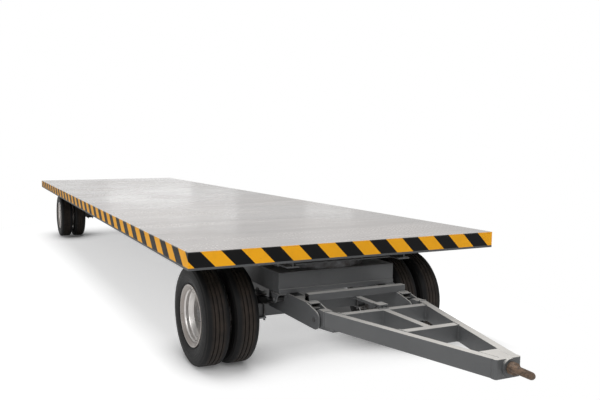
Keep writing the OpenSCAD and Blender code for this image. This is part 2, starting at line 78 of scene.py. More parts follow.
# Places taken from the solids, in metres
DECK_LOW, DECK_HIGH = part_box("deck_plates")
RAIL_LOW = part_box("side_rails")[0].z
DECK_WIDTH = DECK_HIGH.y - DECK_LOW.y
DECK_LENGTH = DECK_HIGH.x - DECK_LOW.x
HALF = DECK_HIGH.y
RIM_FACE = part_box("rim_outer_fl")[1].y
HEAD_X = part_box("drawbar_head")[0].x
# Depth of the deck's outer skin that carries paint of its own
SKIN = 2.5 * MM
# Smaller parts of most noises: how many sizes of them, and how strong
CLOUDY = {"Detail": 4.0, "Roughness": 0.6}
# Half lengths of a raised lozenge along and across it, as shares of the chequer's pitch
LOZENGE_LONG, LOZENGE_SHORT = 0.62, 0.19
WHEEL_SETS = {
    "fl": "front_left_wheels",
    "fr": "front_right_wheels",
    "rl": "rear_left_wheels",
    "rr": "rear_right_wheels",
}


def linear(hex_code):
    """Linear RGBA of an sRGB hex colour."""
    def channel(value):
        return value / 12.92 if value <= 0.04045 else ((value + 0.055) / 1.055) ** 2.4

    digits = hex_code.lstrip("#")
    return tuple(channel(int(digits[i:i + 2], 16) / 255) for i in (0, 2, 4)) + (1.0,)


def colour_property(name, description, hex_code):
    """A colour that a user can change, with a hex default."""
    return FloatVectorProperty(
        name=name, description=description, subtype="COLOR", size=4,
        min=0.0, max=1.0, default=linear(hex_code),
    )


def length_property(name, description, millimetres):
    """A length that a user can change, shown in metres, with a default in millimetres."""
    return FloatProperty(
        name=name, description=description, subtype="DISTANCE", unit="LENGTH",
        default=millimetres * MM, min=0.0, precision=4,
    )


class DeckSettings(bpy.types.PropertyGroup):
    """Deck sheets and the striped edge."""

    sheet_colour: colour_property("Sheet", "Colour of the deck sheets", "#84807d")
    scuff_colour: colour_property("Scuffs", "Colour of the rubbed streaks", "#a19c99")
    yellow: colour_property("Yellow", "Light bands of the edge", "#e8a31a")
    black: colour_property("Black", "Dark bands of the edge", "#0b0b0c")
    band: length_property("Band", "Width of one band along the edge", 142)
    foot: length_property("Foot", "Height of the bare grey strip under the bands", 16)
    front_sheet: length_property("Front sheet", "Length of the front sheet", 1370)
    sheet_pitch: length_property("Sheet pitch", "Pitch of the sheets behind it", 1025)
    chequer: length_property("Chequer", "Pitch of the raised chequer", 40)


class PaintSettings(bpy.types.PropertyGroup):
    """Frame paint and bare metal."""

    grey: colour_property("Grey", "Colour of the frame's enamel", "#535455")
    # The dust on the frame's tops also stands in for painted sheen there
    dust: colour_property("Dust", "Colour of the dust that settles on tops", "#c8c5c0")
    steel: colour_property("Steel", "Colour of the bare steel", "#646567")
    rust: colour_property("Rust", "Colour of the rusted eye", "#6c5746")
    round_edge: length_property("Edge radius", "Rounding of the frame's edges", 4)
    weld: length_property("Weld", "Radius of the weld beads", 5)
    ripple: length_property("Ripple", "Pitch of the weld beads' ripples", 9)


class WheelSettings(bpy.types.PropertyGroup):
    """Tyres, rims and their fasteners."""

    rubber: colour_property("Rubber", "Colour of the tyres", "#0d0d0e")
    tread_dust: colour_property("Tread dust", "Colour of the dusty tread", "#352d27")
    silver: colour_property("Silver", "Colour of the rims", "#dcd9d6")
    twin_gap: length_property("Twin gap", "Gap between the two tyres", 28)
    tread_half: length_property("Tread", "Half the width of the tread", 62)
    groove: length_property("Groove", "Width of a tread groove", 7)
    groove_depth: length_property("Groove depth", "Depth of a tread groove", 9)
    ribs: IntProperty(name="Ribs", description="Ribs across the tread", default=4, min=2, max=8)
    rings: IntProperty(name="Rings", description="Moulded rings on a sidewall", default=8, min=0, max=20)
    nuts: IntProperty(name="Nuts", description="Nuts of one wheel set", default=10, min=4, max=16)
    nut_circle: length_property("Nut circle", "Radius of the nuts' circle", 98)
    nut_size: length_property("Nut size", "Radius over a nut's corners", 15)


class StageSettings(bpy.types.PropertyGroup):
    """Camera, lights and floor."""

    eye: FloatVectorProperty(
        name="Camera", description="Place of the camera", subtype="TRANSLATION", unit="LENGTH",
        size=3, default=(6.9731, -2.5135, 1.6531),
    )
    yaw: FloatProperty(
        name="Yaw", description="Camera's turn from the trailer's length", subtype="ANGLE",
        default=math.radians(21.51),
    )
    pitch: FloatProperty(
        name="Pitch", description="Camera's dip below the horizon", subtype="ANGLE",
        default=math.radians(5.2),
    )
    lens: FloatProperty(
        name="Lens", description="Focal length on a 36 mm sensor", subtype="DISTANCE_CAMERA",
        default=36.93, min=1.0,
    )
    shift: FloatProperty(
        name="Shift", description="Picture's middle right of the lens axis, in widths", default=0.148,
    )
    floor: colour_property("Floor", "Colour of the studio floor", "#f4f4f4")


def add(tree, kind, inputs=(), **settings):
    """Adds a node with its settings, and fills its inputs in order or by key.

    A kind without "Node" in it is a shader node's, and a node given as an input stands for its first output.
    """
    made = tree.nodes.new(kind if "Node" in kind else "ShaderNode" + kind)
    for key, value in settings.items():
        setattr(made, key, value)
    for key, value in inputs.items() if isinstance(inputs, dict) else enumerate(inputs):
        if isinstance(value, bpy.types.Node):
            value = next(socket for socket in value.outputs if socket.enabled)
        if isinstance(value, bpy.types.NodeSocket):
            tree.links.new(value, made.inputs[key])
        else:
            made.inputs[key].default_value = value
    return made


def per_metre(millimetres):
    """Texture scale whose features are about this many millimetres."""
    return 1.0 / (millimetres * MM)


def surface(name):
    """A new material, the function that adds its nodes, and its Object coordinates."""
    material = bpy.data.materials.new(name)
    material.use_nodes = True
    material.node_tree.nodes.clear()
    put = partial(add, material.node_tree)
    return material, put, put("TexCoord").outputs["Object"]


# In the materials, Map Range takes a value, the range it comes from and the range it goes to. Mix takes its
# factor at input 0, two numbers at 2 and 3, and two colours at 6 and 7.


def edge_bands(put, place, deck):
    """Colour of the striped edge: slanted bands that run on round the deck's corners."""
    x, y, z = put("SeparateXYZ", [place]).outputs
    right = put("Math", [x, DECK_HIGH.x], operation="SUBTRACT")
    left = put("Math", [DECK_WIDTH + DECK_HIGH.x, x], operation="SUBTRACT")
    on_left = put("Math", [y, 0.0], operation="GREATER_THAN")
    along_side = put("Mix", {0: on_left, 2: right, 3: left})
    front = put("Math", [y, HALF], operation="ADD")
    back = put("Math", [DECK_WIDTH + DECK_LENGTH + HALF, y], operation="SUBTRACT")
    at_back = put("Math", [x, 0.0], operation="LESS_THAN")
    along_end = put("Mix", {0: at_back, 2: front, 3: back})
    aside = put("Math", [y], operation="ABSOLUTE")
    on_side = put("Math", [aside, HALF - SKIN], operation="GREATER_THAN")
    along = put("Mix", {0: on_side, 2: along_end, 3: along_side})
    height = put("Math", [z, (DECK_HIGH.z + RAIL_LOW) / 2], operation="SUBTRACT")
    slant = put("Math", [along, height], operation="ADD")
    pairs = put("Math", [slant, 2 * deck.band], operation="DIVIDE")
    share = put("Math", [pairs], operation="FRACT")
    second = put("Math", [share, 0.5], operation="GREATER_THAN")
    return put("Mix", {0: second, 6: deck.black, 7: deck.yellow}, data_type="RGBA")


def outer_skin(put, place):
    """1 on the deck's outer faces, 0 inside them."""
    x, y = put("SeparateXYZ", [place]).outputs[:2]
    across = put("Math", [y], operation="ABSOLUTE")
    aside = put("Math", [across, HALF - SKIN], operation="GREATER_THAN")
    ahead = put("Math", [x, DECK_HIGH.x - SKIN], operation="GREATER_THAN")
    behind = put("Math", [x, DECK_LOW.x + SKIN], operation="LESS_THAN")
    ends = put("Math", [ahead, behind], operation="MAXIMUM")
    return put("Math", [aside, ends], operation="MAXIMUM")


def chequer_height(put, x, y, pitch):
    """Height of a raised chequer from 0 to 1: lozenges that turn a quarter from one cell to the next."""
    u = put("Math", [x, pitch], operation="DIVIDE")
    v = put("Math", [y, pitch], operation="DIVIDE")
    column = put("Math", [u], operation="FLOOR")
    row = put("Math", [v], operation="FLOOR")
    cell = put("Math", [column, row], operation="ADD")
    parity = put("Math", [cell, 2.0], operation="MODULO")
    odd = put("Math", [parity], operation="ABSOLUTE")
    across = put("Math", [u], operation="FRACT")
    up = put("Math", [v], operation="FRACT")
    total = put("Math", [across, up], operation="ADD")
    rising = put("Math", [total, 1.0], operation="SUBTRACT")
    falling = put("Math", [across, up], operation="SUBTRACT")
    spread = []
    for near, far, length in ((rising, falling, LOZENGE_LONG), (falling, rising, LOZENGE_SHORT)):
        axis = put("Mix", {0: odd, 2: near, 3: far})
        share = put("Math", [axis, length], operation="DIVIDE")
        spread.append(put("Math", [share, 2.0], operation="POWER"))
    ring = put("Math", spread, operation="ADD")
    return put("MapRange", [ring, 1.0, 0.4, 0.0, 1.0])


def worn_sheet(put, place):
    """Painted mild-steel sheet, rolled and walked on: pale, half glossy, with rubbed streaks."""
    deck = bpy.context.scene.trailer_deck
    x, y = put("SeparateXYZ", [place]).outputs[:2]
    behind = put("Math", [DECK_HIGH.x - deck.front_sheet, x], operation="SUBTRACT")
    sheets = put("Math", [behind, deck.sheet_pitch], operation="DIVIDE")
    number = put("Math", [sheets], operation="FLOOR")
    tone = put("TexWhiteNoise", {"W": number}, noise_dimensions="1D")
    drawn = put("Mapping", {"Vector": place, "Scale": (1.0, 0.16, 1.0)})
    streaks = put("TexNoise", {"Vector": drawn, "Scale": per_metre(260), **CLOUDY})
    clouds = put("TexNoise", {"Vector": place, "Scale": per_metre(1400), "Roughness": 0.6})
    grain = put("TexNoise", {"Vector": place, "Scale": per_metre(18), **CLOUDY})
    worn = put("Math", [streaks, clouds], operation="ADD")
    rubbed = put("MapRange", [worn, 0.85, 1.3, 0.0, 1.0])
    other = put("MapRange", [tone, 0.0, 1.0, 0.0, 0.3])
    spots = put("Math", [grain, streaks], operation="MULTIPLY")
    dirt = put("MapRange", [spots, 0.30, 0.45, 0.0, 0.35])
    # The chequer, drawn a little coarser than on real sheet, where it is too fine to show
    lozenge = chequer_height(put, x, y, deck.chequer)
    bright = put("Math", [lozenge, 0.1], operation="MULTIPLY")
    # The sheet's own edge carries the bands
    normal = put("TexCoord").outputs["Normal"]
    level = put("SeparateXYZ", [normal]).outputs[2]
    steep = put("Math", [level], operation="ABSOLUTE")
    upright = put("Math", [steep, 0.8], operation="LESS_THAN")
    edge = put("Math", [outer_skin(put, place), upright], operation="MULTIPLY")
    body = deck.sheet_colour
    coats = (
        (rubbed, deck.scuff_colour), (other, linear("#a09d9b")), (dirt, linear("#a8a39e")),
        (bright, linear("#dedcd9")), (edge, edge_bands(put, place, deck)),
    )
    for share, colour in coats:
        body = put("Mix", {0: share, 6: body, 7: colour}, data_type="RGBA")
    gloss = put("MapRange", [clouds, 0.35, 0.65, 0.17, 0.27])
    rough = put("Math", [dirt, 0.3, gloss], operation="MULTIPLY_ADD")
    # Each sheet bows a little between its seams
    along = put("Math", [sheets], operation="FRACT")
    arc = put("Math", [along, math.pi], operation="MULTIPLY")
    bow = put("Math", [arc], operation="SINE")
    bowed = put("Bump", {"Strength": 1.0, "Distance": 2.0 * MM, "Height": bow})
    raised = put("Math", [grain, 0.25, lozenge], operation="MULTIPLY_ADD")
    relief = put("Bump", {"Strength": 0.35, "Distance": 0.8 * MM, "Height": raised, "Normal": bowed})
    return put("BsdfPrincipled", {"Base Color": body, "Roughness": rough, "Normal": relief})


def banded_enamel(put, place):
    """Satin enamel brushed on in yellow and black bands, with grey under them and small chips."""
    deck = bpy.context.scene.trailer_deck
    paint = bpy.context.scene.trailer_paint
    flaws = put("TexNoise", {"Vector": place, "Scale": per_metre(14), "Detail": 6.0, "Roughness": 0.7})
    chips = put("MapRange", [flaws, 0.69, 0.72, 0.0, 0.85])
    clouds = put("TexNoise", {"Vector": place, "Scale": per_metre(90), **CLOUDY})
    grime = put("MapRange", [clouds, 0.5, 0.8, 0.0, 0.12])
    z = put("SeparateXYZ", [place]).outputs[2]
    foot = put("Math", [z, RAIL_LOW + deck.foot], operation="LESS_THAN")
    inside = put("Math", [1.0, outer_skin(put, place)], operation="SUBTRACT")
    bare = put("Math", [foot, inside], operation="MAXIMUM")
    body = edge_bands(put, place, deck)
    for share, colour in ((grime, linear("#3b352c")), (chips, linear("#57534c")), (bare, paint.grey)):
        body = put("Mix", {0: share, 6: body, 7: colour}, data_type="RGBA")
    rough = put("MapRange", [grime, 0.0, 0.12, 0.5, 0.65])
    # Brush marks, drawn wider than the real ones, which are too fine to show
    brushed = put("TexNoise", {"Vector": place, "Scale": per_metre(30), **CLOUDY})
    height = put("Math", [brushed, chips], operation="SUBTRACT")
    relief = put("Bump", {"Strength": 0.3, "Distance": 0.6 * MM, "Height": height})
    return put("BsdfPrincipled", {
        "Base Color": body, "Roughness": rough, "Normal": relief, "Specular IOR Level": 0.12,
    })


def grey_enamel(put, place):
    """Alkyd enamel sprayed on hot-rolled steel: satin, slightly uneven, lighter on its upper faces with dust
    and painted sheen.
    """
    paint = bpy.context.scene.trailer_paint
    clouds = put("TexNoise", {"Vector": place, "Scale": per_metre(220), "Detail": 3.0, "Roughness": 0.6})
    uneven = put("MapRange", [clouds, 0.3, 0.7, 0.0, 0.35])
    # Upper faces are painted lighter: partly settled dust, partly painted sheen of the light from above
    normal = put("TexCoord").outputs["Normal"]
    up = put("SeparateXYZ", [normal]).outputs[2]
    flat = put("MapRange", [up, 0.45, 0.95, 0.0, 1.0])
    patchy = put("MapRange", [clouds, 0.2, 0.8, 0.75, 1.0])
    dusty = put("Math", [flat, patchy], operation="MULTIPLY")
    # The dust and the painted sheen on the tops grow towards the drawbar's head
    x = put("SeparateXYZ", [place]).outputs[0]
    dust_and_sheen_towards_head = put("MapRange", [x, HEAD_X - 0.85, HEAD_X - 0.1, 0.4, 0.92])
    dust_and_painted_sheen = put("Math", [dusty, dust_and_sheen_towards_head], operation="MULTIPLY")
    flaws = put("TexNoise", {"Vector": place, "Scale": per_metre(26), "Detail": 8.0, "Roughness": 0.75})
    scratches = put("MapRange", [flaws, 0.68, 0.74, 0.0, 0.4])
    body = paint.grey
    for share, colour in ((uneven, linear("#464748")), (dust_and_painted_sheen, paint.dust), (scratches, linear("#8b8a86"))):
        body = put("Mix", {0: share, 6: body, 7: colour}, data_type="RGBA")
    rough = put("MapRange", [clouds, 0.3, 0.7, 0.40, 0.56])
    # The spray's orange peel, drawn coarser than the real one, which is too fine to show
    peel = put("TexNoise", {"Vector": place, "Scale": per_metre(9), **CLOUDY})
    relief = put("Bump", {"Strength": 0.3, "Distance": 0.5 * MM, "Height": peel})
    return put("BsdfPrincipled", {"Base Color": body, "Roughness": rough, "Normal": relief})


def dull_steel(put, place):
    """Machined and hot-rolled steel left bare, oily and darkened: a dull, uneven metal."""
    paint = bpy.context.scene.trailer_paint
    clouds = put("TexNoise", {"Vector": place, "Scale": per_metre(60), **CLOUDY})
    oily = put("MapRange", [clouds, 0.35, 0.65, 0.0, 1.0])
    body = put("Mix", {0: oily, 6: paint.steel, 7: linear("#423e3b")}, data_type="RGBA")
    rough = put("MapRange", [clouds, 0.35, 0.65, 0.38, 0.62])
    # Mill scale, drawn coarser than the real one, which is too fine to show
    scale = put("TexNoise", {"Vector": place, "Scale": per_metre(8), **CLOUDY})
    relief = put("Bump", {"Strength": 0.3, "Distance": 0.4 * MM, "Height": scale})
    return put("BsdfPrincipled", {
        "Base Color": body, "Roughness": rough, "Normal": relief, "Metallic": 0.6,
    })


def spring_paint(put, place):
    """Black chassis paint on spring steel: matt, with grey dust in the leaves."""
    clouds = put("TexNoise", {"Vector": place, "Scale": per_metre(45), **CLOUDY})
    dusty = put("MapRange", [clouds, 0.4, 0.75, 0.0, 0.5])
    body = put("Mix", {0: dusty, 6: linear("#151515"), 7: linear("#3a3733")}, data_type="RGBA")
    rough = put("MapRange", [clouds, 0.4, 0.75, 0.45, 0.7])
    relief = put("Bump", {"Strength": 0.3, "Distance": 0.5 * MM, "Height": clouds})
    return put("BsdfPrincipled", {"Base Color": body, "Roughness": rough, "Normal": relief})


def silver_lacquer(put, place):
    """Aluminium-flake wheel lacquer on pressed steel: bright, a little dusty with brown."""
    wheel = bpy.context.scene.trailer_wheel
    clouds = put("TexNoise", {"Vector": place, "Scale": per_metre(120), **CLOUDY})
    dusty = put("MapRange", [clouds, 0.4, 0.8, 0.0, 0.4])
    body = put("Mix", {0: dusty, 6: wheel.silver, 7: linear("#a09690")}, data_type="RGBA")
    # Road dust on the outer lip, which stands proud of the rest
    y = put("SeparateXYZ", [place]).outputs[1]
    out = put("Math", [y], operation="ABSOLUTE")
    lip = put("MapRange", [out, RIM_FACE - 24 * MM, RIM_FACE - 16 * MM, 0.0, 0.8])
    body = put("Mix", {0: lip, 6: body, 7: linear("#7d736c")}, data_type="RGBA")
    metal = put("MapRange", [lip, 0.0, 0.8, 0.65, 0.3])
    rough = put("MapRange", [clouds, 0.3, 0.7, 0.24, 0.38])
    # Flakes, drawn far coarser than the real ones, which are too fine to show
    flakes = put("TexNoise", {"Vector": place, "Scale": per_metre(3), **CLOUDY})
    relief = put("Bump", {"Strength": 0.15, "Distance": 0.2 * MM, "Height": flakes})
    return put("BsdfPrincipled", {
        "Base Color": body, "Roughness": rough, "Normal": relief, "Metallic": metal,
    })


def tyre_rubber(put, place):
    """Vulcanised carbon-black rubber: matt, moulded in rings, with brown road dust worn into the ribs."""
    wheel = bpy.context.scene.trailer_wheel
    tread = put("Attribute", attribute_name="tread").outputs["Fac"]
    wall = put("Attribute", attribute_name="wall").outputs["Fac"]
    clouds = put("TexNoise", {"Vector": place, "Scale": per_metre(70), **CLOUDY})
    patchy = put("MapRange", [clouds, 0.3, 0.7, 0.3, 1.0])
    dusty = put("Math", [tread, patchy], operation="MULTIPLY")
    haze = put("MapRange", [clouds, 0.45, 0.8, 0.0, 0.12])
    # Thin raised rings on the sidewall, painted a little lighter: partly dust, partly painted highlight on
    # the rings
    turns = put("Math", [wall, 2 * math.pi * wheel.rings], operation="MULTIPLY")
    wave = put("Math", [turns], operation="SINE")
    lines = put("MapRange", [wave, 0.6, 0.95, 0.0, 1.0])
    bare = put("Math", [1.0, tread], operation="SUBTRACT")
    rings = put("Math", [lines, bare], operation="MULTIPLY")
    rubbed = put("Math", [rings, 0.5], operation="MULTIPLY")
    body = wheel.rubber
    for share, colour in ((dusty, wheel.tread_dust), (haze, linear("#232221")), (rubbed, linear("#2d2a27"))):
        body = put("Mix", {0: share, 6: body, 7: colour}, data_type="RGBA")
    # The rubber's grain, drawn coarser than the real one, which is too fine to show
    grit = put("TexNoise", {"Vector": place, "Scale": per_metre(6), **CLOUDY})
    rough = put("MapRange", [grit, 0.3, 0.7, 0.5, 0.7])
    height = put("Math", [grit, 0.25, rings], operation="MULTIPLY_ADD")
    relief = put("Bump", {"Strength": 0.6, "Distance": 1.2 * MM, "Height": height})
    return put("BsdfPrincipled", {
        "Base Color": body, "Roughness": rough, "Normal": relief, "Specular IOR Level": 0.18,
    })


def rusted_forging(put, place):
    """Forged steel left bare outdoors: even brown rust, darker in its pits, rubbed on its ridges."""
    paint = bpy.context.scene.trailer_paint
    patches = put("TexNoise", {"Vector": place, "Scale": per_metre(16), **CLOUDY})
    darker = put("MapRange", [patches, 0.35, 0.65, 0.0, 1.0])
    body = put("Mix", {0: darker, 6: paint.rust, 7: linear("#40342a")}, data_type="RGBA")
    # Pits, drawn coarser than the real ones, which are too fine to show
    pits = put("TexNoise", {"Vector": place, "Scale": per_metre(5), "Detail": 6.0, "Roughness": 0.6})
    rubbed = put("MapRange", [pits, 0.55, 0.75, 0.0, 0.7])
    body = put("Mix", {0: rubbed, 6: body, 7: linear("#8f8072")}, data_type="RGBA")
    rough = put("MapRange", [pits, 0.3, 0.7, 0.55, 0.85])
    relief = put("Bump", {"Strength": 0.6, "Distance": 1.2 * MM, "Height": pits})
    return put("BsdfPrincipled", {
        "Base Color": body, "Roughness": rough, "Normal": relief, "Metallic": 0.25,
    })


def zinc_plate(put, place):
    """Zinc-plated fasteners: pale grey metal, a little clouded."""
    clouds = put("TexNoise", {"Vector": place, "Scale": per_metre(12), **CLOUDY})
    body = put("Mix", {0: clouds, 6: linear("#a7a8a9"), 7: linear("#7f7c76")}, data_type="RGBA")
    rough = put("MapRange", [clouds, 0.3, 0.7, 0.3, 0.5])
    return put("BsdfPrincipled", {"Base Color": body, "Roughness": rough, "Metallic": 1.0})


# Each record slot's finish; no finish has a slot's name, because the frame's plain materials have those
FINISHES = {
    "deck_sheet": ("worn_steel_sheet", worn_sheet),
    "edge_paint": ("banded_enamel", banded_enamel),
    "frame_paint": ("grey_alkyd_enamel", grey_enamel),
    "bare_steel": ("oiled_bare_steel", dull_steel),
    "spring_black": ("black_spring_paint", spring_paint),
    "rim_silver": ("silver_wheel_lacquer", silver_lacquer),
    "tyre_rubber": ("vulcanised_rubber", tyre_rubber),
    "rusty_eye": ("rusted_forging", rusted_forging),
    "fastener": ("zinc_plate", zinc_plate),
}


def finish(name):
    """The material for a record slot, or for a fastener, made once."""
    made_name, maker = FINISHES[name]
    made = bpy.data.materials.get(made_name)
    if made is None:
        made, put, place = surface(made_name)
        put("OutputMaterial", [maker(put, place)])
    return made


def new_object(name, data):
    """An object in the scene, at the origin."""
    made = bpy.data.objects.new(name, data)
    bpy.context.scene.collection.objects.link(made)
    return made


def mesh_from(work, name):
    """A mesh with what a bmesh holds, which is freed."""
    mesh = bpy.data.meshes.new(name)
    work.to_mesh(mesh)
    work.free()
    return mesh


def settle(piece):
    """Turns a piece's evaluated modifiers into its plain mesh."""
    bpy.context.view_layer.update()
    graph = bpy.context.evaluated_depsgraph_get()
    mesh = bpy.data.meshes.new_from_object(piece.evaluated_get(graph))
    mesh.name = piece.name
    if piece.type == "MESH":
        piece.modifiers.clear()
        piece.data = mesh
        return piece
    name = piece.name
    bpy.data.objects.remove(piece)
    return new_object(name, mesh)


def smooth(mesh, degrees):
    """Smooth shading with sharp edges past an angle."""
    mesh.shade_smooth()
    mesh.set_sharp_from_angle(angle=math.radians(degrees))


def dress(piece, body, material):
    """Gives a new piece its body and its material."""
    piece.data.materials.clear()
    piece.data.materials.append(material)
    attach(piece, body)
    return piece


def slot_of(node):
    """Record slot of a CAD node."""
    return next(s["material_slot"] for s in frame["record"]["subparts"] if s["node"] == node)


def repaint(nodes):
    """Puts the finish of its slot on each CAD node."""
    for node in nodes:
        data = frame["nodes"][node].data
        data.materials.clear()
        data.materials.append(finish(slot_of(node)))


def soften(node, radius):
    """Stands for a CAD node with a copy whose sharp edges are rounded, as rolled and welded steel has."""
    source = frame["nodes"][node]
    work = bmesh.new()
    work.from_mesh(source.data)
    bmesh.ops.remove_doubles(work, verts=work.verts, dist=0.01 * MM)
    bmesh.ops.dissolve_limit(
        work, angle_limit=math.radians(0.5), verts=work.verts, edges=work.edges
    )
    mesh = mesh_from(work, node + "_edged")
    mesh.shade_smooth()
    piece = new_object(mesh.name, mesh)
    bevel = piece.modifiers.new("Edges", "BEVEL")
    bevel.width = radius
    bevel.segments = 3
    bevel.limit_method = "ANGLE"
    bevel.angle_limit = math.radians(40)
    bevel.use_clamp_overlap = True
    # Large faces keep their own normals, so that only the rounded edges shade across
    weights = piece.modifiers.new("Flat faces", "WEIGHTED_NORMAL")
    weights.weight = 80
    piece = settle(piece)
    slot = slot_of(node)
    dress(piece, source["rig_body"], finish(slot))
    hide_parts(node)


def new_tree(name, sizes):
    """An empty Geometry Nodes tree with named inputs: whole numbers are counts, the rest are lengths."""
    tree = bpy.data.node_groups.new(name, "GeometryNodeTree")
    tree.interface.new_socket("Geometry", in_out="INPUT", socket_type="NodeSocketGeometry")
    tree.interface.new_socket("Geometry", in_out="OUTPUT", socket_type="NodeSocketGeometry")
    for size, value in sizes.items():
        kind = "NodeSocketInt" if isinstance(value, int) else "NodeSocketFloat"
        tree.interface.new_socket(size, in_out="INPUT", socket_type=kind).default_value = value
    return tree, add(tree, "NodeGroupInput").outputs


def end_tree(tree, geometry, material):
    """Closes a tree: instances made real, material set."""
    real = add(tree, "GeometryNodeRealizeInstances", [geometry])
    painted = add(tree, "GeometryNodeSetMaterial", {"Geometry": real, "Material": material})
    add(tree, "NodeGroupOutput", [painted])
    return tree


def grow(tree, source, sizes):
    """Runs a Geometry Nodes tree on an object with these sizes and keeps the plain mesh."""
    modifier = source.modifiers.new(tree.name, "NODES")
    modifier.node_group = tree
    for item in tree.interface.items_tree:
        if item.in_out == "INPUT" and item.name in sizes:
            modifier[item.identifier] = sizes[item.name]
    return settle(source)


def nuts_on(tree, points, given, material):
    """Closes a tree with a nut at each point: washer, hexagon and stud end, stacked from z = 0."""
    stack = add(tree, "GeometryNodeJoinGeometry")
    # Sides, share of the nut's radius and share of its height
    for sides, wide, tall in ((20, 1.25, 0.16), (6, 1.0, 1.0), (14, 0.58, 1.45)):
        reach = add(tree, "Math", [given["Nut"], wide], operation="MULTIPLY")
        depth = add(tree, "Math", [given["Height"], tall], operation="MULTIPLY")
        middle = add(tree, "Math", [depth, 0.5], operation="MULTIPLY")
        column = add(tree, "GeometryNodeMeshCylinder", {"Vertices": sides, "Radius": reach, "Depth": depth})
        lift = add(tree, "CombineXYZ", {"Z": middle})
        raised = add(tree, "GeometryNodeTransform", {"Geometry": column, "Translation": lift})
        tree.links.new(raised.outputs[0], stack.inputs[0])
    placed = add(tree, "GeometryNodeInstanceOnPoints", {"Points": points, "Instance": stack})
    return end_tree(tree, placed, material)


def nut_ring_tree(material):
    """A ring of nuts round the Z axis."""
    tree, given = new_tree("nut_ring", {"Count": 10, "Ring": 0.1, "Nut": 0.015, "Height": 0.02})
    ring = add(tree, "GeometryNodeMeshCircle", {"Vertices": given["Count"], "Radius": given["Ring"]})
    return nuts_on(tree, ring, given, material)


def nut_grid_tree(material):
    """Nuts at the points of a grid in X and Y."""
    sizes = {"Columns": 2, "Rows": 2, "Length": 0.1, "Width": 0.1, "Nut": 0.015, "Height": 0.02}
    tree, given = new_tree("nut_grid", sizes)
    grid = add(tree, "GeometryNodeMeshGrid", {
        "Size X": given["Length"], "Size Y": given["Width"],
        "Vertices X": given["Columns"], "Vertices Y": given["Rows"],
    })
    return nuts_on(tree, grid, given, material)


def weld_tree(material):
    """A rippled bead along each line of the source."""
    tree, given = new_tree("weld_bead", {"Radius": 0.005, "Ripple": 0.009})
    step = add(tree, "Math", [given["Ripple"], 0.34], operation="MULTIPLY")
    spaced = {"Curve": given["Geometry"], "Length": step}
    line = add(tree, "GeometryNodeResampleCurve", spaced, mode="LENGTH")
    run = add(tree, "GeometryNodeSplineParameter").outputs["Length"]
    turns = add(tree, "Math", [run, given["Ripple"]], operation="DIVIDE")
    angle = add(tree, "Math", [turns, 2 * math.pi], operation="MULTIPLY")
    wave = add(tree, "Math", [angle], operation="SINE")
    swell = add(tree, "Math", [wave, 0.13, 1.0], operation="MULTIPLY_ADD")
    profile = add(tree, "GeometryNodeCurvePrimitiveCircle", {"Resolution": 8, "Radius": given["Radius"]})
    tube = add(tree, "GeometryNodeCurveToMesh", {
        "Curve": line, "Profile Curve": profile, "Scale": swell, "Fill Caps": True,
    })
    return end_tree(tree, tube, material)


def tree_once(name, maker, slot):
    """A Geometry Nodes tree, made once."""
    return bpy.data.node_groups.get(name) or maker(finish(slot))


def nuts_at(name, matrices, tree, sizes, body):
    """One piece from several groups of nuts, each set in its place."""
    joined = bmesh.new()
    for matrix in matrices:
        seed = new_object(name, bpy.data.meshes.new(name))
        group = grow(tree, seed, sizes)
        group.data.transform(matrix)
        joined.from_mesh(group.data)
        bpy.data.objects.remove(group)
    mesh = mesh_from(joined, name)
    smooth(mesh, 30)
    return dress(new_object(name, mesh), body, finish("fastener"))


def beads(name, paths, body):
    """Weld beads along lists of points, as one piece."""
    paint = bpy.context.scene.trailer_paint
    curve = bpy.data.curves.new(name, "CURVE")
    curve.dimensions = "3D"
    for path in paths:
        spline = curve.splines.new("POLY")
        spline.points.add(len(path) - 1)
        for point, place in zip(spline.points, path):
            point.co = (*place, 1.0)
    tree = tree_once("weld_bead", weld_tree, "frame_paint")
    piece = grow(tree, new_object(name, curve), {"Radius": paint.weld, "Ripple": paint.ripple})
    smooth(piece.data, 60)
    return dress(piece, body, finish("frame_paint"))


def lathe(work, profile, centre, segments):
    """Spins a closed profile of (radius, y) points round the Y axis through a centre; returns the rings."""
    rings = []
    for i in range(segments):
        angle = 2 * math.pi * i / segments
        rings.append([
            work.verts.new((
                centre.x + radius * math.sin(angle), centre.y + y, centre.z + radius * math.cos(angle)
            ))
            for radius, y in profile
        ])
    count = len(profile)
    for i in range(segments):
        here, there = rings[i], rings[(i + 1) % segments]
        for j in range(count):
            k = (j + 1) % count
            work.faces.new((here[j], here[k], there[k], there[j]))
    return rings


def smooth_through(points, steps):
    """Catmull-Rom curve through points."""
    ends = [points[0], *points, points[-1]]
    curve = []
    for a, b, c, d in zip(ends, ends[1:], ends[2:], ends[3:]):
        for i in range(steps):
            t = i / steps
            curve.append(tuple(
                0.5 * (2 * q + (r - p) * t + (2 * p - 5 * q + 4 * r - s) * t ** 2
                       + (3 * q - p - 3 * r + s) * t ** 3)
                for p, q, r, s in zip(a, b, c, d)
            ))
    curve.append(tuple(points[-1]))
    return curve


